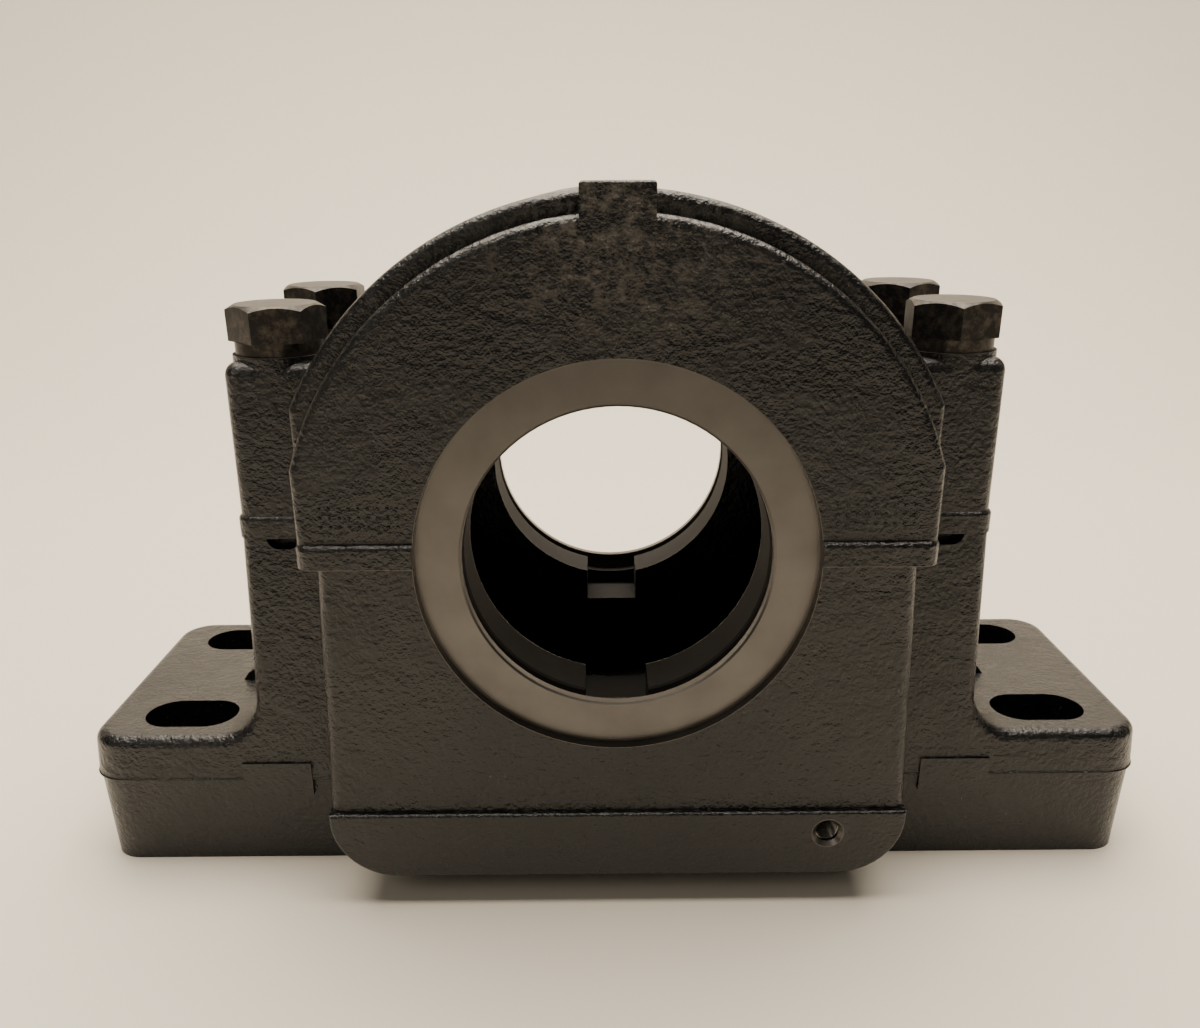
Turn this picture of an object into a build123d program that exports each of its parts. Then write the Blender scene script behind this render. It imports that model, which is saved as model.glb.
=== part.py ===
from build123d import *
import os
from math import atan, cos, degrees, radians, sin, sqrt, tan

# Split plummer block housing, standing empty on a four-slot foot.
#
# Millimetres. X runs along the foot, Y along the shaft and Z up. The origin is on the underside
# of the foot, below the middle of the bore. The base and the cap meet at the height of the bore
# axis. They were bolted together and bored as one, so one turned cutter shape opens both.

# --- Foot ---
FOOT_LENGTH = 416.0  # tip to tip, at the parting line of the casting
FOOT_WIDTH = 120.0
FOOT_HEIGHT = 55.0
FOOT_CORNER = 14.0  # corner radius seen from above
PARTING_HEIGHT = 37.5  # where the two halves of the sand mould met
PARTING_STEP = 0.7  # how far the lower half of the mould lies inside the upper one
LOWER_DRAFT = 2.0  # degrees
EDGE_ROUND = 4.5  # cast edge of the foot top and of the lugs
RELIEF_LENGTH = 196.0  # unmachined middle of the underside, between the two foot pads
RELIEF_DEPTH = 3.0
SLOT_SPACING_X = 344.0
SLOT_SPACING_Y = 75.0
SLOT_LENGTH = 37.0
SLOT_WIDTH = 23.0
GUSSET_LENGTH = 12.0  # small cast wedge at the root of each lug, out along the foot
GUSSET_WIDTH = 11.0
GUSSET_HEIGHT = 9.0
PLATE_LENGTH = 27.0  # blank cast plate on the front and back of the foot
PLATE_HEIGHT = 14.0
PLATE_PROUD = 0.6
PLATE_X = 133.0

# --- Lugs that the cap bolts go through ---
CENTRE_HEIGHT = 135.0  # bore axis and split plane above the table
LUG_LENGTH = 275.0  # across both lugs, at the split
LUG_WIDTH = 108.0
LUG_ROOT_LENGTH = 279.0  # across both lugs, at the foot
LUG_ROOT_FILLET = 16.0
CAP_LUG_HEIGHT = 63.3
CAP_LUG_CORNER = 6.0
CAP_LUG_EDGE = 5.0
CAP_LUG_DRAFT = 0.6  # degrees
PRY_SLOT_LENGTH = 12.0  # recess under the split for a lever
PRY_SLOT_HEIGHT = 4.2
PRY_SLOT_DEPTH = 5.0

# --- Body round the bearing ---
BODY_LENGTH = 175.0  # between the two end faces
BODY_WIDTH = 204.0  # at the split
BODY_BOTTOM_WIDTH = 215.0
BODY_BOTTOM = 12.8  # underside of the body above the table
BODY_CORNER = 24.0
BODY_EDGE = 4.5
SKIRT_TOP = 39.5  # proud band along the bottom of each end face
SKIRT_PROUD = 2.7
SKIRT_EDGE = 1.2

# --- Bore, from the end face inwards ---
BORE_RADIUS = 53.4
RECESS_RADIUS = 69.2  # machined ring round the bore
RECESS_DEPTH = 3.8
LIP_THICKNESS = 4.0
GROOVE_WIDTH = 5.7  # seal groove
GROOVE_RADIUS = 60.5
RIB_THICKNESS = 21.0
SEAT_RADIUS = 100.0  # bearing outer ring
SEAT_LENGTH = 72.0
SEAT_RELIEF = 0.8
BORE_CHAMFER = 0.7
NOTCH_WIDTH = 23.0  # oil return through each rib, below the bore
NOTCH_DEPTH = 13.0

# --- Cap ---
BARREL_RADIUS = 119.7
BARREL_WIDTH = 215.6  # over the flat sides
BARREL_EDGE = 3.0
FACE_RADIUS = 112.8  # raised end face
FACE_STEP = 8.0  # end face in front of the rim of the barrel
FACE_EDGE = 3.2
CROWN_WIDTH = 23.4  # rib over the crown
CROWN_RISE = 121.5  # top of the rib above the bore axis
CROWN_EDGE = 1.2
FLANGE_HEIGHT = 8.5  # proud band round the bottom of the cap
FLANGE_PROUD_END = 2.2
FLANGE_PROUD_SIDE = 0.8
FLANGE_EDGE = 2.0
FLANGE_CORNER = 6.0

# --- Cap bolts, lock washers and dowels ---
BOLT_SPACING_X = 240.0
BOLT_SPACING_Y = 74.0
BOLT_DIAMETER = 20.0
BOLT_LENGTH = 100.0
BOLT_TIP_CHAMFER = 1.8
HEAD_ACROSS_FLATS = 30.0
HEAD_HEIGHT = 12.5
HEAD_TOP_LAND = 0.95  # flat on top of the head, as a share of the width across flats
HEAD_CHAMFER_ANGLE = 30.0  # degrees
PAD_RADIUS = 16.5  # raised pad under each washer
PAD_HEIGHT = 1.5
BOLT_HOLE_CLEARANCE = 1.0  # radial, in the cap
THREAD_CLEARANCE = 0.3  # radial, in the base
TAPPED_EXTRA_DEPTH = 12.0  # past the tip of the bolt
WASHER_OUTER_RADIUS = 15.3
WASHER_THICKNESS = 4.5
WASHER_CLEARANCE = 0.3  # radial, round the bolt
WASHER_SLIT = 1.6
WASHER_SLIT_LEAN = 20.0  # degrees from the bolt axis
DOWEL_DIAMETER = 10.0
DOWEL_LENGTH = 30.0
DOWEL_CHAMFER = 1.0
DOWEL_CAP_CLEARANCE = 0.3  # radial
DOWEL_END_GAP = 1.5  # above the dowel, in the cap

# --- Small tapped holes ---
TAPPING_X = 77.8  # open tapped hole in the front skirt
TAPPING_Z = 30.5
TAPPING_RADIUS = 4.25
TAPPING_MOUTH_RADIUS = 5.8
TAPPING_DEPTH = 22.0
PORT_RADIUS = 6.6  # grease port in the crown
PLUG_CLEARANCE = 0.3  # radial
PLUG_LENGTH = 10.0
PLUG_SUNK = 0.6  # below the top of the crown rib
PLUG_KEY = 6.0  # hexagon socket, across flats
PLUG_KEY_DEPTH = 5.0

SEAM = 1.0  # how far a shape reaches into the one that it grows from or cuts

# --- What follows from the sizes above ---
CROWN_TOP = CENTRE_HEIGHT + CROWN_RISE
BODY_HALF = BODY_LENGTH / 2
LIP_OUTER = BODY_HALF - RECESS_DEPTH
GROOVE_OUTER = LIP_OUTER - LIP_THICKNESS
GROOVE_INNER = GROOVE_OUTER - GROOVE_WIDTH
CHAMBER_HALF = GROOVE_INNER - RIB_THICKNESS
LUG_TOP = CENTRE_HEIGHT + CAP_LUG_HEIGHT
PAD_TOP = LUG_TOP + PAD_HEIGHT
HEAD_SEAT = PAD_TOP + WASHER_THICKNESS
BOLT_TIP = HEAD_SEAT - BOLT_LENGTH
BOLT_RADIUS = BOLT_DIAMETER / 2
DOWEL_RADIUS = DOWEL_DIAMETER / 2

# Where each bolt stands, and how far its head happened to be turned when it was tightened.
BOLT_PLACES = {
    "front_left": (-1, -1, 14.0),
    "front_right": (1, -1, 24.0),
    "rear_left": (-1, 1, 31.0),
    "rear_right": (1, 1, 31.0),
}
WASHER_SLIT_TURNS = {"front_left": 62.0, "front_right": 118.0, "rear_left": 285.0, "rear_right": 250.0}

SPLIT_PLANE = Plane((0, 0, CENTRE_HEIGHT))
BORE_PLANE = Plane((0, 0, CENTRE_HEIGHT), x_dir=(1, 0, 0), z_dir=(0, -1, 0))


def both_ways(outline, half_length):
    """An outline in a plane, thickened by half_length on each side of that plane."""
    return extrude(outline, half_length, both=True)


def bolt_axis(side, end):
    """Where a cap bolt's axis meets the XY plane."""
    return side * BOLT_SPACING_X / 2, end * BOLT_SPACING_Y / 2


def upright(radius, low, high, x=0.0, y=0.0):
    """A round rod standing on its end, between two heights."""
    return Pos(x, y, (low + high) / 2) * Cylinder(radius, high - low)


def end_outline(part, half_length):
    """The edges that bound a part's two end faces, without those on the split plane."""
    edges = ShapeList()
    for end in (-half_length, half_length):
        edges += part.edges().filter_by_position(Axis.Y, end - 0.01, end + 0.01)
    return edges.filter_by(lambda edge: abs(edge.center().Z - CENTRE_HEIGHT) > 0.01)


# --- Base casting ---


def foot_below_parting():
    """The lower part of the foot, which narrows downwards as it left the sand."""
    outline = RectangleRounded(
        FOOT_LENGTH - 2 * PARTING_STEP, FOOT_WIDTH - 2 * PARTING_STEP, FOOT_CORNER - PARTING_STEP
    )
    return extrude(Plane.XY.offset(PARTING_HEIGHT) * outline, -PARTING_HEIGHT, taper=LOWER_DRAFT)


def foot_and_lugs():
    """The foot above the parting line and both lugs, with one front face that leans back."""
    lean = atan((FOOT_WIDTH - LUG_WIDTH) / 2 / (CENTRE_HEIGHT - PARTING_HEIGHT))
    tip_top = FOOT_LENGTH / 2 - (FOOT_HEIGHT - PARTING_HEIGHT) * tan(lean)
    right_side = [
        (FOOT_LENGTH / 2, PARTING_HEIGHT),
        (tip_top, FOOT_HEIGHT),
        (LUG_ROOT_LENGTH / 2, FOOT_HEIGHT),
        (LUG_LENGTH / 2, CENTRE_HEIGHT),
    ]
    left_side = [(-x, z) for x, z in reversed(right_side)]
    front = make_face(Plane.XZ * Polyline(*right_side, *left_side, close=True))
    roots = front.vertices().filter_by(
        lambda v: abs(v.Z - FOOT_HEIGHT) < 0.01 and abs(v.X) < LUG_ROOT_LENGTH / 2 + 0.01
    )
    front = fillet(roots, LUG_ROOT_FILLET)
    side = make_face(
        Plane.YZ
        * Polyline(
            (-FOOT_WIDTH / 2, PARTING_HEIGHT),
            (FOOT_WIDTH / 2, PARTING_HEIGHT),
            (LUG_WIDTH / 2, CENTRE_HEIGHT),
            (-LUG_WIDTH / 2, CENTRE_HEIGHT),
            close=True,
        )
    )
    block = both_ways(front, FOOT_WIDTH / 2) & both_ways(side, FOOT_LENGTH / 2)
    tips = block.edges().filter_by(
        lambda e: abs(e.center().X) > FOOT_LENGTH / 2 - EDGE_ROUND
        and abs(e.center().Y) > LUG_WIDTH / 2
        and PARTING_HEIGHT < e.center().Z < FOOT_HEIGHT
    )
    block = fillet(tips, FOOT_CORNER)

    def is_cast_edge(edge):
        """Edges round the foot top and up the lug corners, not seams, split or parting line."""
        middle = edge.center()
        along_shaft = abs(edge.tangent_at(0.5).Y) > 0.999
        if along_shaft and abs(middle.X) < tip_top - FOOT_CORNER:
            return False
        if not PARTING_HEIGHT + 0.01 < middle.Z < CENTRE_HEIGHT - 0.01:
            return False
        return middle.Z > FOOT_HEIGHT - 0.01

    return fillet(block.edges().filter_by(is_cast_edge), EDGE_ROUND)


def base_body_outline():
    """The body below the split, seen along the shaft."""
    outline = make_face(
        Plane.XZ
        * Polyline(
            (-BODY_WIDTH / 2, CENTRE_HEIGHT),
            (-BODY_BOTTOM_WIDTH / 2, BODY_BOTTOM),
            (BODY_BOTTOM_WIDTH / 2, BODY_BOTTOM),
            (BODY_WIDTH / 2, CENTRE_HEIGHT),
            close=True,
        )
    )
    low_corners = outline.vertices().filter_by(lambda v: v.Z < BODY_BOTTOM + 0.01)
    return fillet(low_corners, BODY_CORNER)


def base_body():
    """The body below the split, with its proud skirt at both ends."""
    outline = base_body_outline()
    body = both_ways(outline, BODY_HALF)
    body = fillet(end_outline(body, BODY_HALF), BODY_EDGE)
    band = Pos(0, 0, (BODY_BOTTOM + SKIRT_TOP) / 2) * Box(
        BODY_BOTTOM_WIDTH, 2 * BODY_LENGTH, SKIRT_TOP - BODY_BOTTOM
    )
    skirt_half = BODY_HALF + SKIRT_PROUD
    skirt = both_ways(outline, skirt_half) & band
    skirt = fillet(end_outline(skirt, skirt_half), SKIRT_EDGE)
    return body + skirt


def gusset(side):
    """Small cast wedge on the foot at the root of a lug."""
    root = LUG_ROOT_LENGTH / 2
    tip = root + LUG_ROOT_FILLET + GUSSET_LENGTH / 2
    wedge = make_face(
        Plane.XZ
        * Polyline(
            (side * root, FOOT_HEIGHT - SEAM),
            (side * tip, FOOT_HEIGHT - SEAM),
            (side * (tip - GUSSET_LENGTH / 4), FOOT_HEIGHT + GUSSET_HEIGHT / 3),
            (side * (tip - GUSSET_LENGTH), FOOT_HEIGHT + GUSSET_HEIGHT),
            (side * root, FOOT_HEIGHT + GUSSET_HEIGHT),
            close=True,
        )
    )
    return both_ways(wedge, GUSSET_WIDTH / 2)


def foot_slots():
    """The four slots for the foundation bolts, right through the foot."""
    slot = extrude(SlotOverall(SLOT_LENGTH, SLOT_WIDTH), FOOT_HEIGHT + EDGE_ROUND)
    return [place * slot for place in GridLocations(SLOT_SPACING_X, SLOT_SPACING_Y, 2, 2)]


def bore_cutter():
    """What the boring bar took out: recess, lip, seal groove, rib, chamber and bearing seat."""
    seat_half = SEAT_LENGTH / 2
    chamber_radius = SEAT_RADIUS + SEAT_RELIEF
    half = [
        (seat_half, SEAT_RADIUS),
        (seat_half, chamber_radius),
        (CHAMBER_HALF, chamber_radius),
        (CHAMBER_HALF, BORE_RADIUS),
        (GROOVE_INNER - BORE_CHAMFER, BORE_RADIUS),
        (GROOVE_INNER, BORE_RADIUS + BORE_CHAMFER),
        (GROOVE_INNER, GROOVE_RADIUS),
        (GROOVE_OUTER, GROOVE_RADIUS),
        (GROOVE_OUTER, BORE_RADIUS),
        (LIP_OUTER - BORE_CHAMFER, BORE_RADIUS),
        (LIP_OUTER, BORE_RADIUS + BORE_CHAMFER),
        (LIP_OUTER, RECESS_RADIUS),
        (BODY_LENGTH, RECESS_RADIUS),
    ]
    mirrored = [(-y, r) for y, r in reversed(half)]
    ends = [(BODY_LENGTH, 0), (-BODY_LENGTH, 0)]
    section = make_face(Plane.YZ * Polyline(*half, *ends, *mirrored, close=True))
    return Pos(0, 0, CENTRE_HEIGHT) * revolve(section, Axis.Y)


def oil_notches():
    """The return path for oil through the bottom of both ribs."""
    top = CENTRE_HEIGHT - BORE_RADIUS + NOTCH_DEPTH
    bottom = CENTRE_HEIGHT - BORE_RADIUS - NOTCH_DEPTH
    notch = Box(NOTCH_WIDTH, RIB_THICKNESS + 2 * SEAM, top - bottom)
    middle = CHAMBER_HALF + RIB_THICKNESS / 2
    return [Pos(0, end * middle, (top + bottom) / 2) * notch for end in (-1, 1)]


def pry_slots():
    """Recesses under the split, beside the body, where a lever starts the cap."""
    x = (BODY_WIDTH / 2 + LUG_LENGTH / 2) / 2 + PRY_SLOT_HEIGHT / 2
    outline = SlotOverall(PRY_SLOT_LENGTH, 2 * PRY_SLOT_HEIGHT)
    cutters = []
    for side in (-1, 1):
        for end in (-1, 1):
            place = Plane((side * x, end * LUG_WIDTH / 2, CENTRE_HEIGHT), x_dir=(1, 0, 0), z_dir=(0, end, 0))
            cutters.append(both_ways(place * outline, PRY_SLOT_DEPTH))
    return cutters


def tapped_hole(depth):
    """The cutter for the open tapped hole, along +Y from its mouth on the XZ plane."""
    bevel = TAPPING_MOUTH_RADIUS - TAPPING_RADIUS
    section = Polyline(
        (0, -bevel),
        (TAPPING_MOUTH_RADIUS + bevel, -bevel),
        (TAPPING_RADIUS, bevel),
        (TAPPING_RADIUS, depth),
        (0, depth + TAPPING_RADIUS * tan(radians(30))),
        close=True,
    )
    return revolve(make_face(section), Axis.Y)


def blank_plates():
    """Blank raised plates on the front and back of the foot."""
    plates = []
    low = PARTING_HEIGHT - PLATE_HEIGHT / 2
    depth = FOOT_WIDTH / 2 - LUG_WIDTH / 2 + PLATE_PROUD
    for side in (-1, 1):
        for end in (-1, 1):
            y = end * (FOOT_WIDTH / 2 + PLATE_PROUD - depth / 2)
            plates.append(Pos(side * PLATE_X, y, low + PLATE_HEIGHT / 2) * Box(PLATE_LENGTH, depth, PLATE_HEIGHT))
    return plates


def housing_base():
    """The base: foot, lugs and lower half of the body, machined for cap, bearing and seals."""
    base = foot_below_parting() + foot_and_lugs() + base_body()
    base += [gusset(side) for side in (-1, 1)]
    base += blank_plates()
    base -= foot_slots()
    base -= Pos(0, 0, RELIEF_DEPTH / 2) * Box(RELIEF_LENGTH, 2 * FOOT_WIDTH, RELIEF_DEPTH)
    base -= bore_cutter()
    base -= oil_notches()
    base -= pry_slots()
    skirt_face = -(BODY_HALF + SKIRT_PROUD)
    base -= Pos(TAPPING_X, skirt_face, TAPPING_Z) * tapped_hole(TAPPING_DEPTH)
    tapped_bottom = BOLT_TIP - TAPPED_EXTRA_DEPTH
    for side, end, _ in BOLT_PLACES.values():
        base -= upright(BOLT_RADIUS + THREAD_CLEARANCE, tapped_bottom, CROWN_TOP, *bolt_axis(side, end))
    for side in (-1, 1):
        low = CENTRE_HEIGHT - DOWEL_LENGTH / 2
        base -= upright(DOWEL_RADIUS, low, CROWN_TOP, side * BOLT_SPACING_X / 2)
    return base


# --- Cap casting ---


def dome_outline(radius):
    """A round crown on flat sides, above the split, seen along the shaft."""
    sides = Pos(0, radius / 2) * Rectangle(BARREL_WIDTH, radius)
    return BORE_PLANE * (Circle(radius) & sides)


def cap_flange():
    """The proud band round the bottom of the cap, over the body and the lugs."""
    over_body = Rectangle(BARREL_WIDTH + 2 * FLANGE_PROUD_SIDE, BODY_LENGTH + 2 * FLANGE_PROUD_END)
    over_lugs = Rectangle(LUG_LENGTH + 2 * FLANGE_PROUD_SIDE, LUG_WIDTH + 2 * FLANGE_PROUD_SIDE)
    outline = over_body + over_lugs
    reach = BARREL_WIDTH / 2 + FLANGE_PROUD_SIDE
    corners = outline.vertices().filter_by(
        lambda v: abs(v.X) > reach + 0.01 or abs(v.Y) > BODY_HALF
    )
    outline = fillet(corners, FLANGE_CORNER)
    band = extrude(SPLIT_PLANE * outline, FLANGE_HEIGHT)
    return fillet(band.faces().sort_by(Axis.Z)[-1].edges(), FLANGE_EDGE)


def cap_lugs():
    """The block through which the cap bolts pass, with its four washer pads."""
    outline = RectangleRounded(LUG_LENGTH, LUG_WIDTH, CAP_LUG_CORNER)
    block = extrude(SPLIT_PLANE * outline, CAP_LUG_HEIGHT, taper=CAP_LUG_DRAFT)
    block = fillet(block.faces().sort_by(Axis.Z)[-1].edges(), CAP_LUG_EDGE)
    pads = [
        upright(PAD_RADIUS, LUG_TOP - CAP_LUG_EDGE, PAD_TOP, *bolt_axis(side, end))
        for side, end, _ in BOLT_PLACES.values()
    ]
    return block + pads


def cap_barrel():
    """The barrel over the bearing, with a raised face at both ends."""
    rim_half = BODY_HALF - FACE_STEP
    barrel = both_ways(dome_outline(BARREL_RADIUS), rim_half)
    barrel = fillet(end_outline(barrel, rim_half), BARREL_EDGE)
    face_block = both_ways(dome_outline(FACE_RADIUS), BODY_HALF)
    face_block = fillet(end_outline(face_block, BODY_HALF), FACE_EDGE)
    return barrel + face_block


def crown_rib():
    """The rib that runs over the crown from one end face to the other."""
    height = CROWN_RISE - SEAT_RADIUS - SEAT_RELIEF
    rib = Pos(0, 0, CROWN_TOP - height / 2) * Box(CROWN_WIDTH, BODY_LENGTH, height)
    return fillet(rib.faces().sort_by(Axis.Z)[-1].edges(), CROWN_EDGE)


def housing_cap():
    """The cap: barrel, lugs and flange, machined for base, bearing, seals, bolts and dowels."""
    cap = cap_barrel() + cap_lugs() + cap_flange() + crown_rib()
    cap -= bore_cutter()
    for side, end, _ in BOLT_PLACES.values():
        hole = BOLT_RADIUS + BOLT_HOLE_CLEARANCE
        cap -= upright(hole, 0, CROWN_TOP, *bolt_axis(side, end))
    for side in (-1, 1):
        top = CENTRE_HEIGHT + DOWEL_LENGTH / 2 + DOWEL_END_GAP
        cap -= upright(DOWEL_RADIUS + DOWEL_CAP_CLEARANCE, 0, top, side * BOLT_SPACING_X / 2)
    cap -= upright(PORT_RADIUS, CENTRE_HEIGHT, 2 * CROWN_TOP)
    return cap


# --- Fasteners ---


def hex_head():
    """A hexagon head on the XY plane, with its corners chamfered at the top."""
    prism = extrude(RegularPolygon(HEAD_ACROSS_FLATS / 2, 6, major_radius=False), HEAD_HEIGHT)
    corner = HEAD_ACROSS_FLATS / 2 / cos(radians(30))
    land = HEAD_TOP_LAND * HEAD_ACROSS_FLATS / 2
    drop = (corner - land) * tan(radians(HEAD_CHAMFER_ANGLE))
    turned = make_face(
        Plane.XZ
        * Polyline((0, 0), (corner, 0), (corner, HEAD_HEIGHT - drop), (land, HEAD_HEIGHT), (0, HEAD_HEIGHT), close=True)
    )
    return prism & revolve(turned, Axis.Z)


def cap_bolt(side, end, turn):
    """A hexagon head bolt in its place, with a plain shank the size of its thread."""
    shank = Pos(0, 0, -BOLT_LENGTH / 2) * Cylinder(BOLT_RADIUS, BOLT_LENGTH)
    shank = chamfer(shank.edges().sort_by(Axis.Z)[0], BOLT_TIP_CHAMFER)
    # A hexagon made to its flats has a corner on +X.
    bolt = Rot(0, 0, turn) * (hex_head() + shank)
    x, y = bolt_axis(side, end)
    return Pos(x, y, HEAD_SEAT) * bolt


def lock_washer(side, end, slit_turn):
    """A square-section spring lock washer, squeezed flat, with its leaning slit."""
    inner = BOLT_RADIUS + WASHER_CLEARANCE
    ring = extrude(Circle(WASHER_OUTER_RADIUS) - Circle(inner), WASHER_THICKNESS)
    slit = Box(2 * WASHER_OUTER_RADIUS, WASHER_SLIT, 4 * WASHER_THICKNESS)
    slit = Pos(WASHER_OUTER_RADIUS, 0, WASHER_THICKNESS / 2) * Rot(WASHER_SLIT_LEAN, 0, 0) * slit
    x, y = bolt_axis(side, end)
    return Pos(x, y, PAD_TOP) * Rot(0, 0, slit_turn) * (ring - slit)


def dowel_pin(side):
    """A dowel across the split, between the two bolts of one lug."""
    pin = Cylinder(DOWEL_RADIUS, DOWEL_LENGTH)
    pin = chamfer(pin.edges().filter_by(GeomType.CIRCLE), DOWEL_CHAMFER)
    return Pos(side * BOLT_SPACING_X / 2, 0, CENTRE_HEIGHT) * pin


def grease_plug():
    """The headless plug with a hexagon socket that closes the grease port."""
    radius = PORT_RADIUS - PLUG_CLEARANCE
    top = CROWN_TOP - PLUG_SUNK
    plug = upright(radius, top - PLUG_LENGTH, top)
    socket = extrude(RegularPolygon(PLUG_KEY / 2, 6, major_radius=False), -PLUG_KEY_DEPTH)
    return plug - Pos(0, 0, top) * socket


def build():
    """Every piece of the housing by its name."""
    pieces = {"housing_base": housing_base(), "housing_cap": housing_cap()}
    for place, (side, end, turn) in BOLT_PLACES.items():
        pieces["cap_bolt_" + place] = cap_bolt(side, end, turn)
        pieces["lock_washer_" + place] = lock_washer(side, end, WASHER_SLIT_TURNS[place])
    pieces["dowel_pin_left"] = dowel_pin(-1)
    pieces["dowel_pin_right"] = dowel_pin(1)
    pieces["grease_plug"] = grease_plug()
    return pieces


os.makedirs("parts", exist_ok=True)
for name, piece in build().items():
    export_step(piece, "parts/" + name + ".step")
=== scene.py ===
"""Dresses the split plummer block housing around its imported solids.

The solids carry the shape. This script gives each one its finish and adds what is too fine for
them: the thread of the open tapped hole, the flash where the mould halves met, and rows of casting
nibs. Everything is in metres, in the frame of the solids.
"""

from __future__ import annotations

import logging
import math
from dataclasses import dataclass, field
from enum import Enum
from typing import Any

import bpy
from mathutils import Matrix, Vector


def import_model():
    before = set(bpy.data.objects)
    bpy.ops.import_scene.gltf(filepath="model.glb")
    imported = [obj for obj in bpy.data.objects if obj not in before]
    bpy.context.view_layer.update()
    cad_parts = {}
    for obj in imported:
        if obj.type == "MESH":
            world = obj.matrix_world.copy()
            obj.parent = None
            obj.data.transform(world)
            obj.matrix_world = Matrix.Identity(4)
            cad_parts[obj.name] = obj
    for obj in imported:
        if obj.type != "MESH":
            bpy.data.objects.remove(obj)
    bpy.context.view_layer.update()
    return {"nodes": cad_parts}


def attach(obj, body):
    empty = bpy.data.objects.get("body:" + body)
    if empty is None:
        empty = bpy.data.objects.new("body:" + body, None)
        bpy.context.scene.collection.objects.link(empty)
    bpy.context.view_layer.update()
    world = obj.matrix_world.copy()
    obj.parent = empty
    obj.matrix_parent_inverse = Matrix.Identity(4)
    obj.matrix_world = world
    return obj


LOG = logging.getLogger("plummer_block")
MM = 0.001
Tree = bpy.types.NodeTree
Socket = bpy.types.NodeSocket


def linear(hex_colour: str) -> tuple[float, float, float, float]:
    """Turns an sRGB hex colour into the linear colour that shaders use.

    Args:
        hex_colour: six hex digits, such as "1a1b1d".

    Returns:
        Red, green, blue and an alpha of 1.
    """
    channels = [int(hex_colour[i : i + 2], 16) / 255 for i in (0, 2, 4)]
    red, green, blue = (c / 12.92 if c <= 0.04045 else ((c + 0.055) / 1.055) ** 2.4 for c in channels)
    return red, green, blue, 1.0


def add(
    tree: Tree, kind: str, inputs: dict[Any, Any] | None = None, **settings: Any
) -> bpy.types.Node:
    """Adds a node with its settings and links.

    Args:
        tree: the node tree that takes the node.
        kind: the node's type name.
        inputs: input name or number to a value, or to the socket that feeds it.
        settings: properties of the node.

    Returns:
        The new node.
    """
    node = tree.nodes.new(kind)
    for key, value in settings.items():
        setattr(node, key, value)
    for key, value in (inputs or {}).items():
        if isinstance(value, Socket):
            tree.links.new(value, node.inputs[key])
        else:
            node.inputs[key].default_value = value
    return node


class About(Enum):
    """The axis that a machined zone was turned or drilled about."""

    SHAFT = "along Y"
    UPRIGHT = "along Z"


@dataclass(frozen=True)
class Zone:
    """A round region of a casting, between two radii and two stations along its axis.

    Places are measured on the folded casting, where left and right, and front and rear, coincide.
    """

    about: About
    across: float
    other: float
    radius: float
    start: float
    end: float
    front_right_only: bool = False


@dataclass(frozen=True)
class CastingSizes:
    """Sizes of the castings that finishes and small pieces are placed by, in metres."""

    centre_height: float = 0.135
    end_face: float = 0.0875
    ring_radius: float = 0.0692
    rib_inner_face: float = 0.053
    seat_radius: float = 0.1
    seat_half: float = 0.036
    bolt_x: float = 0.12
    bolt_y: float = 0.037
    pad_radius: float = 0.0165
    pad_top: float = 0.1998
    bolt_hole_radius: float = 0.011
    dowel_hole_radius: float = 0.0053
    tapping_x: float = 0.0778
    tapping_z: float = 0.0305
    tapping_radius: float = 0.00425
    parting_height: float = 0.0375
    skin: float = 0.00012

    def zones(self) -> list[Zone]:
        """The machined zones of both castings."""
        skin = self.skin
        axis = self.centre_height
        return [
            Zone(About.SHAFT, 0.0, axis, self.ring_radius + skin, self.rib_inner_face + 2 * skin, 0.0885),
            Zone(About.SHAFT, 0.0, axis, self.seat_radius + 3 * skin, -0.001, self.seat_half + skin),
            Zone(About.UPRIGHT, 0.0, 0.0, 1.0, axis - skin, axis + skin),
            Zone(About.UPRIGHT, 0.0, 0.0, 1.0, -0.001, 2 * skin),
            Zone(About.UPRIGHT, self.bolt_x, self.bolt_y, self.pad_radius - skin, self.pad_top - skin, 0.21),
            Zone(About.UPRIGHT, self.bolt_x, self.bolt_y, self.bolt_hole_radius + skin, -0.001, 0.21),
            Zone(About.UPRIGHT, self.bolt_x, 0.0, self.dowel_hole_radius + skin, 0.1, 0.16),
            Zone(About.SHAFT, self.tapping_x, self.tapping_z, 0.0060, 0.06, 0.1, front_right_only=True),
        ]


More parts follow.
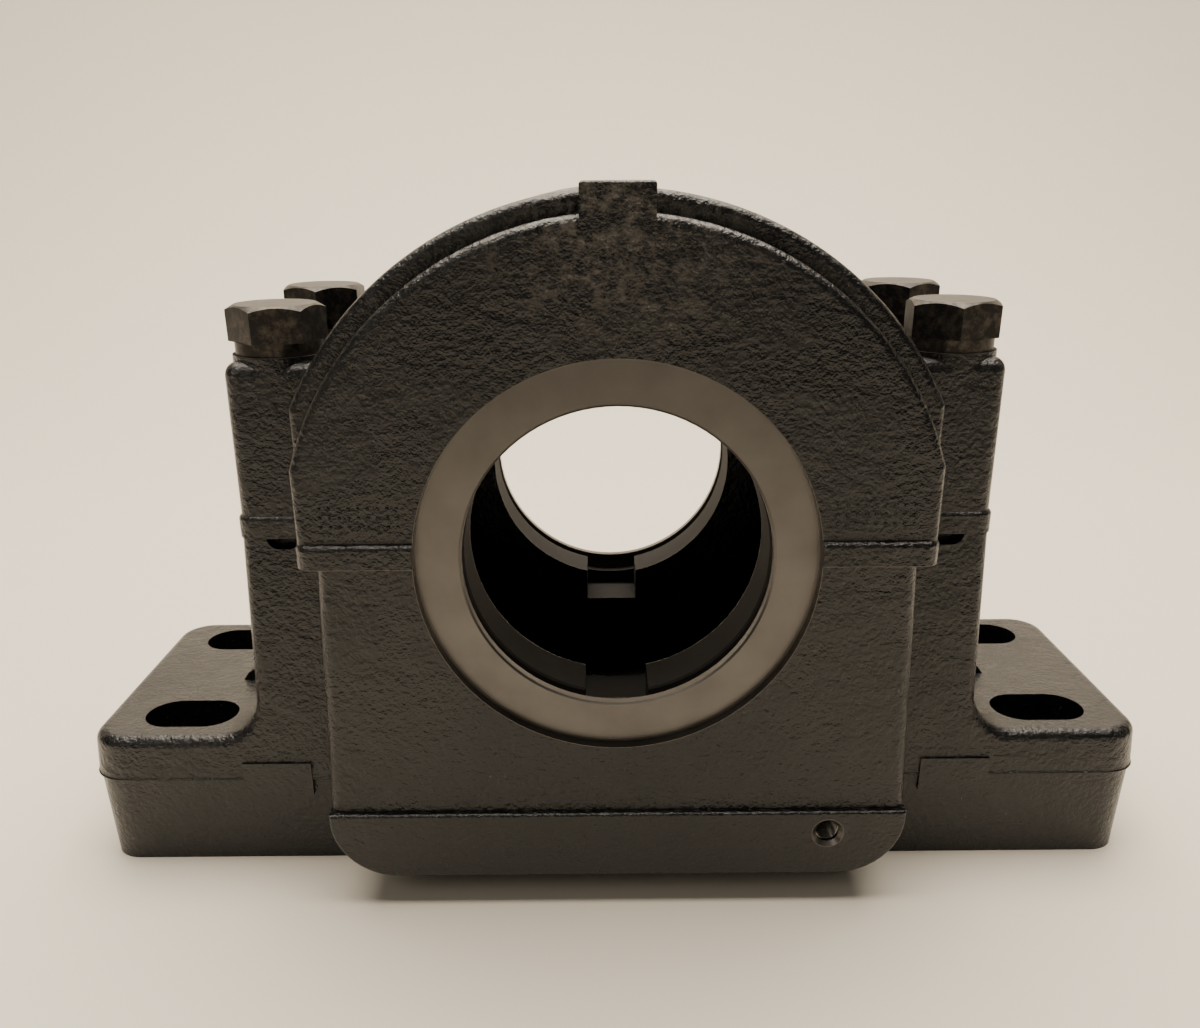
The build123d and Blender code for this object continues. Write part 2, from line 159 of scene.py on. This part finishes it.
@dataclass(frozen=True)
class CastingFinish:
    """Black machinery enamel sprayed on sand-cast grey iron, with bare turned and milled faces.

    Enamel gives a near-black body colour under a clear dielectric gloss, broken by the sand's
    texture. The iron was turned, so its bare faces are a mid grey metal with fine rings. Every
    machined face nearer the middle than the lips of the end bores is painted dark and dull: partly a
    film of old oil, partly painted shade of the closed interior.
    """

    name: str
    enamel: str = "08090b"
    enamel_dust: str = "5f5b56"
    enamel_roughness: float = 0.24
    iron: str = "6f6c69"
    iron_stain: str = "55524f"
    iron_oil_and_shade: str = "14110f"
    oil_and_shade_within: float = 0.0790  # every machined face nearer the middle is darkened: partly old oil, partly painted shade of the closed interior
    iron_roughness: float = 0.36
    oiled_roughness: float = 0.8
    turning_pitch_mm: float = 0.9  # real marks are nearer 0.2 mm, drawn coarser so that they show
    turning_depth_mm: float = 0.02
    grain_mm: float = 1.8  # real sand texture is nearer 0.4 mm, drawn coarser so that it shows
    grain_depth_mm: float = 0.7
    ripple_mm: float = 9.0
    ripple_depth_mm: float = 1.1
    speck_mm: float = 5.0
    chipped_share: float = 0.8
    rubbed_share: float = 0.55
    rub_core: float = 0.015  # the crown is rubbed most within this distance of its middle
    rub_reach: float = 0.05
    rub_foot: float = 0.2
    rub_head: float = 0.235

    def build(self, sizes: CastingSizes) -> bpy.types.Material:
        """Makes the material.

        Args:
            sizes: where the machined zones are.

        Returns:
            A material that reads Object coordinates.
        """
        material = bpy.data.materials.new(self.name)
        material.use_nodes = True
        tree = material.node_tree
        tree.nodes.clear()
        place = add(tree, "ShaderNodeTexCoord").outputs["Object"]
        machined = self.machined_mask(tree, place, sizes)
        enamel = self.enamel_shader(tree, place)
        iron = self.iron_shader(tree, place, sizes)
        mixed = add(tree, "ShaderNodeMixShader", {0: machined, 1: enamel, 2: iron})
        add(tree, "ShaderNodeOutputMaterial", {"Surface": mixed.outputs[0]})
        return material

    def machined_mask(self, tree: Tree, place: Socket, sizes: CastingSizes) -> Socket:
        """1 on the machined zones and 0 elsewhere.

        Args:
            tree: the material's tree.
            place: object coordinates.
            sizes: the casting's sizes.

        Returns:
            The mask's socket.
        """
        folded = add(tree, "ShaderNodeVectorMath", {0: place}, operation="ABSOLUTE").outputs[0]
        mask: Any = 0.0
        for zone in sizes.zones():
            source = place if zone.front_right_only else folded
            split = add(tree, "ShaderNodeSeparateXYZ", {0: source})
            along_axis = "Y" if zone.about is About.SHAFT else "Z"
            squash = (1.0, 0.0, 1.0) if zone.about is About.SHAFT else (1.0, 1.0, 0.0)
            centre = (zone.across, zone.other, 0.0)
            if zone.about is About.SHAFT:
                centre = (zone.across, 0.0, zone.other)
            flat = add(tree, "ShaderNodeVectorMath", {0: source, 1: squash}, operation="MULTIPLY").outputs[0]
            reach = add(
                tree, "ShaderNodeVectorMath", {0: flat, 1: centre}, operation="DISTANCE"
            ).outputs["Value"]
            inside = add(tree, "ShaderNodeMath", {0: reach, 1: zone.radius}, operation="LESS_THAN").outputs[0]
            middle, half = (zone.start + zone.end) / 2, (zone.end - zone.start) / 2
            if zone.front_right_only:
                middle = -middle
            station = split.outputs[along_axis]
            level = add(
                tree, "ShaderNodeMath", {0: station, 1: middle, 2: half}, operation="COMPARE"
            ).outputs[0]
            both = add(tree, "ShaderNodeMath", {0: inside, 1: level}, operation="MULTIPLY").outputs[0]
            mask = add(tree, "ShaderNodeMath", {0: mask, 1: both}, operation="MAXIMUM").outputs[0]
        return mask

    def enamel_shader(self, tree: Tree, place: Socket) -> Socket:
        """Black enamel over sand-cast iron.

        Args:
            tree: the material's tree.
            place: object coordinates.

        Returns:
            The shader's socket.
        """
        grain = add(
            tree,
            "ShaderNodeTexNoise",
            {"Vector": place, "Scale": 1 / (self.grain_mm * MM), "Detail": 3.0, "Roughness": 0.6},
        )
        ripple = add(
            tree, "ShaderNodeTexNoise", {"Vector": place, "Scale": 1 / (self.ripple_mm * MM), "Detail": 2.0}
        )
        fine = add(
            tree,
            "ShaderNodeBump",
            {"Height": grain.outputs[0], "Strength": 1.0, "Distance": self.grain_depth_mm * MM},
        )
        bump = add(
            tree,
            "ShaderNodeBump",
            {
                "Height": ripple.outputs[0],
                "Strength": 0.7,
                "Distance": self.ripple_depth_mm * MM,
                "Normal": fine.outputs[0],
            },
        )
        patches = add(tree, "ShaderNodeTexNoise", {"Vector": place, "Scale": 28.0, "Detail": 4.0})
        roughness = add(
            tree,
            "ShaderNodeMapRange",
            {
                "Value": patches.outputs[0],
                1: 0.3,
                2: 0.7,
                3: self.enamel_roughness - 0.05,
                4: self.enamel_roughness + 0.1,
            },
        )
        wear = self.wear_share(tree, place)
        colour = add(
            tree,
            "ShaderNodeMix",
            {"Factor": wear, "A": linear(self.enamel), "B": linear(self.enamel_dust)},
            data_type="RGBA",
        )
        shader = add(
            tree,
            "ShaderNodeBsdfPrincipled",
            {
                "Base Color": colour.outputs["Result"],
                "Roughness": roughness.outputs[0],
                "Normal": bump.outputs[0],
                "IOR": 1.5,
            },
        )
        return shader.outputs[0]

    def wear_share(self, tree: Tree, place: Socket) -> Socket:
        """How much of the enamel is chipped, rubbed or dusty, from 0 to 1.

        Args:
            tree: the material's tree.
            place: object coordinates.

        Returns:
            The share's socket.
        """
        specks = add(
            tree,
            "ShaderNodeTexNoise",
            {"Vector": place, "Scale": 1 / (self.speck_mm * MM), "Detail": 5.0, "Roughness": 0.75},
        ).outputs[0]
        chips = add(
            tree, "ShaderNodeMapRange", {"Value": specks, 1: 0.68, 2: 0.72, 3: 0.0, 4: self.chipped_share}
        ).outputs[0]
        rubbed = add(
            tree, "ShaderNodeMapRange", {"Value": specks, 1: 0.46, 2: 0.62, 3: 0.0, 4: self.rubbed_share}
        ).outputs[0]
        split = add(tree, "ShaderNodeSeparateXYZ", {0: place})
        aside = add(tree, "ShaderNodeMath", {0: split.outputs["X"]}, operation="ABSOLUTE").outputs[0]
        near_middle = add(
            tree, "ShaderNodeMapRange", {"Value": aside, 1: self.rub_core, 2: self.rub_reach, 3: 1.0, 4: 0.0}
        ).outputs[0]
        high = add(
            tree,
            "ShaderNodeMapRange",
            {"Value": split.outputs["Z"], 1: self.rub_foot, 2: self.rub_head, 3: 0.0, 4: 1.0},
        ).outputs[0]
        crown = add(tree, "ShaderNodeMath", {0: near_middle, 1: high}, operation="MULTIPLY").outputs[0]
        crown_rub = add(tree, "ShaderNodeMath", {0: crown, 1: rubbed}, operation="MULTIPLY").outputs[0]
        return add(tree, "ShaderNodeMath", {0: chips, 1: crown_rub}, operation="MAXIMUM").outputs[0]

    def iron_shader(self, tree: Tree, place: Socket, sizes: CastingSizes) -> Socket:
        """Bare turned grey iron, darkened nearer the middle by old oil and by painted shade of the closed
        interior.

        Args:
            tree: the material's tree.
            place: object coordinates.
            sizes: the casting's sizes.

        Returns:
            The shader's socket.
        """
        flat = add(
            tree, "ShaderNodeVectorMath", {0: place, 1: (1.0, 0.0, 1.0)}, operation="MULTIPLY"
        ).outputs[0]
        reach = add(
            tree, "ShaderNodeVectorMath", {0: flat, 1: (0.0, 0.0, sizes.centre_height)}, operation="DISTANCE"
        ).outputs["Value"]
        phase_per_metre = math.tau / (self.turning_pitch_mm * MM)
        turns = add(tree, "ShaderNodeMath", {0: reach, 1: phase_per_metre}, operation="MULTIPLY").outputs[0]
        marks = add(tree, "ShaderNodeMath", {0: turns}, operation="SINE").outputs[0]
        bump = add(
            tree,
            "ShaderNodeBump",
            {"Height": marks, "Strength": 0.25, "Distance": self.turning_depth_mm * MM},
        )
        stain = add(tree, "ShaderNodeTexNoise", {"Vector": place, "Scale": 60.0, "Detail": 5.0})
        tint = add(
            tree,
            "ShaderNodeMix",
            {"Factor": stain.outputs[0], "A": linear(self.iron), "B": linear(self.iron_stain)},
            data_type="RGBA",
        )
        folded = add(tree, "ShaderNodeVectorMath", {0: place}, operation="ABSOLUTE").outputs[0]
        depth = add(tree, "ShaderNodeSeparateXYZ", {0: folded}).outputs["Y"]
        # Nearer the middle the iron is painted dark, dull and non-metallic: partly old oil, partly painted
        # shade of the closed interior.
        clean_and_lit = add(
            tree,
            "ShaderNodeMapRange",
            {"Value": depth, 1: self.oil_and_shade_within - MM, 2: self.oil_and_shade_within, 3: 0.0, 4: 1.0},
        )
        sheen = add(
            tree,
            "ShaderNodeMapRange",
            {"Value": clean_and_lit.outputs[0], 1: 0.0, 2: 1.0, 3: self.oiled_roughness, 4: self.iron_roughness},
        )
        colour = add(
            tree,
            "ShaderNodeMix",
            {"Factor": clean_and_lit.outputs[0], "A": linear(self.iron_oil_and_shade), "B": tint.outputs["Result"]},
            data_type="RGBA",
        )
        shader = add(
            tree,
            "ShaderNodeBsdfPrincipled",
            {
                "Base Color": colour.outputs["Result"],
                "Metallic": clean_and_lit.outputs[0],
                "Roughness": sheen.outputs[0],
                "Normal": bump.outputs[0],
            },
        )
        return shader.outputs[0]


@dataclass(frozen=True)
class SteelFinish:
    """Hot-formed steel, blackened with oxide: a dark grey metal with paler, browner flecks."""

    name: str
    oxide: str = "2b2a2a"
    worn: str = "6c645b"
    roughness: float = 0.38
    metallic: float = 0.85
    grain_mm: float = 1.2
    grain_depth_mm: float = 0.05
    wear_scale: float = 240.0

    def build(self) -> bpy.types.Material:
        """Makes the material, which reads Object coordinates."""
        material = bpy.data.materials.new(self.name)
        material.use_nodes = True
        tree = material.node_tree
        tree.nodes.clear()
        place = add(tree, "ShaderNodeTexCoord").outputs["Object"]
        grain = add(
            tree, "ShaderNodeTexNoise", {"Vector": place, "Scale": 1 / (self.grain_mm * MM), "Detail": 4.0}
        )
        wear = add(
            tree,
            "ShaderNodeTexNoise",
            {"Vector": place, "Scale": self.wear_scale, "Detail": 6.0, "Roughness": 0.7},
        )
        share = add(tree, "ShaderNodeMapRange", {"Value": wear.outputs[0], 1: 0.45, 2: 0.75, 3: 0.0, 4: 0.7})
        tint = add(
            tree,
            "ShaderNodeMix",
            {"Factor": share.outputs[0], "A": linear(self.oxide), "B": linear(self.worn)},
            data_type="RGBA",
        )
        bump = add(
            tree,
            "ShaderNodeBump",
            {"Height": grain.outputs[0], "Strength": 0.3, "Distance": self.grain_depth_mm * MM},
        )
        shader = add(
            tree,
            "ShaderNodeBsdfPrincipled",
            {
                "Base Color": tint.outputs["Result"],
                "Metallic": self.metallic,
                "Roughness": self.roughness,
                "Normal": bump.outputs[0],
            },
        )
        add(tree, "ShaderNodeOutputMaterial", {"Surface": shader.outputs[0]})
        return material


@dataclass
class Studio:
    """Floor, backdrop, soft light and the camera."""

    camera_place: tuple[float, float, float] = (-0.00728, -0.42587, 0.25663)
    pitch_deg: float = 21.283
    yaw_deg: float = 0.207
    roll_deg: float = 0.358
    lens_mm: float = 32.0
    shift_up: float = 0.0676
    floor_colour: str = "e3dccf"

    def build(self) -> None:
        """Makes the studio."""
        self.add_floor()
        self.add_lights()
        self.add_camera()

    def add_floor(self) -> None:
        """A pale sweep: floor, cove and wall in one sheet."""
        mesh = bpy.data.meshes.new("studio_sweep")
        profile = [(-3.0, 0.0), (0.45, 0.0)]
        for step in range(1, 13):
            angle = math.pi / 2 * step / 12
            profile.append((0.45 + 0.5 * math.sin(angle), 0.5 - 0.5 * math.cos(angle)))
        profile.append((0.95, 3.0))
        verts = [(x, y, z) for y, z in profile for x in (-3.0, 3.0)]
        faces = [(2 * i, 2 * i + 1, 2 * i + 3, 2 * i + 2) for i in range(len(profile) - 1)]
        mesh.from_pydata(verts, [], faces)
        mesh.shade_smooth()
        sweep = bpy.data.objects.new("studio_sweep", mesh)
        bpy.context.scene.collection.objects.link(sweep)
        material = bpy.data.materials.new("pale_matt_sweep")
        material.use_nodes = True
        shader = material.node_tree.nodes["Principled BSDF"]
        shader.inputs["Base Color"].default_value = linear(self.floor_colour)
        shader.inputs["Roughness"].default_value = 0.7
        mesh.materials.append(material)

    def add_lights(self) -> None:
        """One large soft light overhead and behind, one weak fill at the front."""
        self.add_area("overhead", (0.0, 0.45, 1.55), (0.0, 0.3, 0.1), 1.8, 92.0)
        self.add_area("front_fill", (-1.2, -1.6, 1.6), (0.0, 0.0, 0.1), 1.0, 7.0)
        world = bpy.data.worlds.new("soft_room")
        world.use_nodes = True
        back = world.node_tree.nodes["Background"]
        back.inputs[0].default_value = linear("f1ead9")
        back.inputs[1].default_value = 0.14
        bpy.context.scene.world = world

    def add_area(
        self,
        name: str,
        place: tuple[float, float, float],
        aim: tuple[float, float, float],
        size: float,
        watts: float,
    ) -> None:
        """Adds a soft square light.

        Args:
            name: the light's name.
            place: where it hangs.
            aim: the point that it faces.
            size: its side.
            watts: its power.
        """
        lamp = bpy.data.lights.new(name, "AREA")
        lamp.size = size
        lamp.energy = watts
        lamp.color = linear("fff3e2")[:3]
        thing = bpy.data.objects.new(name, lamp)
        thing.location = place
        thing.rotation_euler = (Vector(aim) - Vector(place)).to_track_quat("-Z", "Y").to_euler()
        bpy.context.scene.collection.objects.link(thing)

    def add_camera(self) -> None:
        """The camera, with the lens and the small rise that the framing needs."""
        pitch, yaw, roll = (math.radians(a) for a in (self.pitch_deg, self.yaw_deg, self.roll_deg))
        forward = Vector((math.sin(yaw) * math.cos(pitch), math.cos(yaw) * math.cos(pitch), -math.sin(pitch)))
        right = Vector((math.cos(yaw), -math.sin(yaw), 0.0))
        up = right.cross(forward)
        rolled_right = right * math.cos(roll) - up * math.sin(roll)
        rolled_up = right * math.sin(roll) + up * math.cos(roll)
        data = bpy.data.cameras.new("view")
        data.lens = self.lens_mm
        data.sensor_width = 36.0
        data.shift_y = self.shift_up
        data.clip_start = 0.01
        camera = bpy.data.objects.new("view", data)
        basis = Matrix((rolled_right, rolled_up, -forward)).transposed().to_4x4()
        camera.matrix_world = Matrix.Translation(Vector(self.camera_place)) @ basis
        bpy.context.scene.collection.objects.link(camera)
        bpy.context.scene.camera = camera


@dataclass
class Housing:
    """The whole housing: both castings and what holds them together."""

    nodes: dict[str, bpy.types.Object]
    sizes: CastingSizes = field(default_factory=CastingSizes)

    def dress(self) -> None:
        """Gives every solid its finish."""
        casting = CastingFinish("black_enamel_on_cast_iron").build(self.sizes)
        steel = SteelFinish("black_oxide_bolt_steel").build()
        washer = SteelFinish("black_oxide_spring_steel", oxide="2f2d2b", worn="6d665e").build()
        ground = SteelFinish(
            "ground_steel", oxide="8f8d89", worn="a5a39f", roughness=0.25, metallic=1.0
        ).build()
        for name, node in self.nodes.items():
            if name.startswith("housing"):
                finish = casting
            elif name.startswith("lock_washer"):
                finish = washer
            elif name.startswith("dowel"):
                finish = ground
            else:
                finish = steel
            for slot in node.material_slots:
                slot.material = finish
            LOG.info("%s wears %s", name, finish.name)
        CastingMarks(self.sizes, casting, ground).build()


class Cast(Enum):
    """The castings that small pieces ride on: body and material slot."""

    BASE = ("base", "housing_base")
    CAP = ("cap", "housing_cap")


class PieceTree:
    """A node tree that makes one small piece from named sizes."""

    def __init__(self, name: str, material: bpy.types.Material) -> None:
        """Starts the tree.

        Args:
            name: the piece's name.
            material: its finish.
        """
        self.name = name
        self.material = material
        self.values: dict[str, Any] = {}
        self.tree = bpy.data.node_groups.new(name + "_rule", "GeometryNodeTree")
        self.tree.interface.new_socket(name="Piece", in_out="OUTPUT", socket_type="NodeSocketGeometry")
        self.entry = self.tree.nodes.new("NodeGroupInput")

    def size(self, name: str, value: Any) -> Socket:
        """Adds a named input.

        Args:
            name: what it is.
            value: a whole number, a number or three numbers.

        Returns:
            The socket that gives the value inside the tree.
        """
        kind = "NodeSocketInt" if isinstance(value, int) else "NodeSocketFloat"
        if isinstance(value, tuple):
            kind = "NodeSocketVector"
        item = self.tree.interface.new_socket(name=name, in_out="INPUT", socket_type=kind)
        self.values[item.identifier] = value
        return self.entry.outputs[name]

    def finish(self, shape: Socket, cast: Cast) -> bpy.types.Object:
        """Closes the tree, makes a plain mesh of its result and lets it ride on its casting.

        Args:
            shape: the geometry.
            cast: the casting that carries the piece.

        Returns:
            The piece.
        """
        real = add(self.tree, "GeometryNodeRealizeInstances", {0: shape}).outputs[0]
        dressed = add(self.tree, "GeometryNodeSetMaterial", {"Geometry": real, "Material": self.material})
        add(self.tree, "NodeGroupOutput", {0: dressed.outputs[0]})
        maker = bpy.data.objects.new(self.name + "_maker", bpy.data.meshes.new(self.name + "_maker"))
        bpy.context.scene.collection.objects.link(maker)
        modifier = maker.modifiers.new("rule", "NODES")
        modifier.node_group = self.tree
        for identifier, value in self.values.items():
            modifier[identifier] = value
        depsgraph = bpy.context.evaluated_depsgraph_get()
        mesh = bpy.data.meshes.new_from_object(maker.evaluated_get(depsgraph))
        bpy.data.objects.remove(maker)
        mesh.name = self.name
        piece = bpy.data.objects.new(self.name, mesh)
        bpy.context.scene.collection.objects.link(piece)
        body, slot = cast.value
        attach(piece, body)
        LOG.info("%s has %d faces", self.name, len(mesh.polygons))
        return piece


@dataclass
class CastingMarks:
    """What the mould and the tap left on the castings."""

    sizes: CastingSizes
    enamel: bpy.types.Material
    iron: bpy.types.Material
    foot_length: float = 0.416
    foot_width: float = 0.120
    foot_corner: float = 0.014
    flash_radius: float = 0.00045
    flash_wander: float = 0.0007
    flash_points: int = 700
    nib_radius: float = 0.0006
    nib_pitch: float = 0.0032
    nibs_in_row: int = 9
    first_nib_x: float = 0.073
    first_nib_z: float = 0.1495
    nib_rows: int = 3
    thread_turns: float = 11.0
    thread_length: float = 0.010
    thread_ridge: float = 0.00035

    def build(self) -> None:
        """Makes the flash, the nibs and the thread."""
        self.add_flash()
        for side, name in ((-1, "left"), (1, "right")):
            for row in range(self.nib_rows):
                self.add_nib_row(f"casting_nibs_{name}_{row + 1}", side, row)
        self.add_thread()

    def add_flash(self) -> None:
        """The uneven ridge round the foot, where the two halves of the mould met."""
        piece = PieceTree("foot_parting_flash", self.enamel)
        tree = piece.tree
        outline = add(
            tree,
            "GeometryNodeCurvePrimitiveQuadrilateral",
            {"Width": piece.size("Length", self.foot_length), "Height": piece.size("Width", self.foot_width)},
        ).outputs[0]
        rounded = add(
            tree,
            "GeometryNodeFilletCurve",
            {"Curve": outline, "Radius": piece.size("Corner", self.foot_corner), "Count": 8},
            mode="POLY",
        ).outputs[0]
        count = piece.size("Points", self.flash_points)
        points = add(tree, "GeometryNodeResampleCurve", {"Curve": rounded, "Count": count}).outputs[0]
        noise = add(tree, "ShaderNodeTexNoise", {"Scale": 160.0, "Detail": 3.0}).outputs[0]
        centred = add(tree, "ShaderNodeMath", {0: noise, 1: 0.5}, operation="SUBTRACT").outputs[0]
        reach = piece.size("Wander", self.flash_wander)
        wander = add(tree, "ShaderNodeMath", {0: centred, 1: reach}, operation="MULTIPLY").outputs[0]
        level = piece.size("Height", self.sizes.parting_height)
        height = add(tree, "ShaderNodeMath", {0: wander, 1: level}, operation="ADD").outputs[0]
        rise = add(tree, "ShaderNodeCombineXYZ", {"Z": height}).outputs[0]
        placed = add(tree, "GeometryNodeSetPosition", {"Geometry": points, "Offset": rise}).outputs[0]
        thickness = piece.size("Ridge", self.flash_radius)
        section = add(
            tree, "GeometryNodeCurvePrimitiveCircle", {"Resolution": 6, "Radius": thickness}
        ).outputs[0]
        ridge = add(tree, "GeometryNodeCurveToMesh", {"Curve": placed, "Profile Curve": section}).outputs[0]
        piece.finish(ridge, Cast.BASE)

    def add_nib_row(self, name: str, side: int, row: int) -> None:
        """A row of small round nibs low on the cap's front face.

        Args:
            name: the row's name.
            side: -1 for left and 1 for right.
            row: 0 for the lowest row.
        """
        piece = PieceTree(name, self.enamel)
        tree = piece.tree
        height = self.first_nib_z + row * self.nib_pitch
        start = (side * self.first_nib_x, -self.sizes.end_face, height)
        line = add(
            tree,
            "GeometryNodeMeshLine",
            {
                "Count": piece.size("Nibs", self.nibs_in_row),
                "Start Location": piece.size("Start", start),
                "Offset": piece.size("Step", (side * self.nib_pitch, 0.0, 0.0)),
            },
        ).outputs[0]
        nib = add(
            tree,
            "GeometryNodeMeshUVSphere",
            {"Segments": 8, "Rings": 5, "Radius": piece.size("Nib", self.nib_radius)},
        ).outputs[0]
        nibs = add(tree, "GeometryNodeInstanceOnPoints", {"Points": line, "Instance": nib}).outputs[0]
        piece.finish(nibs, Cast.CAP)

    def add_thread(self) -> None:
        """The ridge of the thread in the open tapped hole."""
        piece = PieceTree("tapped_hole_thread", self.iron)
        tree = piece.tree
        radius = piece.size("Radius", self.sizes.tapping_radius)
        helix = add(
            tree,
            "GeometryNodeCurveSpiral",
            {
                "Resolution": 24,
                "Rotations": piece.size("Turns", self.thread_turns),
                "Start Radius": radius,
                "End Radius": radius,
                "Height": piece.size("Length", self.thread_length),
            },
        ).outputs[0]
        thickness = piece.size("Ridge", self.thread_ridge)
        section = add(
            tree, "GeometryNodeCurvePrimitiveCircle", {"Resolution": 6, "Radius": thickness}
        ).outputs[0]
        ridge = add(
            tree, "GeometryNodeCurveToMesh", {"Curve": helix, "Profile Curve": section, "Fill Caps": True}
        ).outputs[0]
        inner_end = (self.sizes.tapping_x, self.thread_length - self.sizes.end_face, self.sizes.tapping_z)
        laid = add(
            tree,
            "GeometryNodeTransform",
            {
                "Geometry": ridge,
                "Translation": piece.size("Inner end", inner_end),
                "Rotation": piece.size("Turned", (math.pi / 2, 0.0, 0.0)),
            },
        ).outputs[0]
        piece.finish(laid, Cast.BASE)


def main() -> None:
    """Loads the solids, dresses them, and sets up the studio."""
    logging.basicConfig(level=logging.INFO)
    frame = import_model()
    Housing(frame["nodes"]).dress()
    Studio().build()


if __name__ == "__main__":
    main()
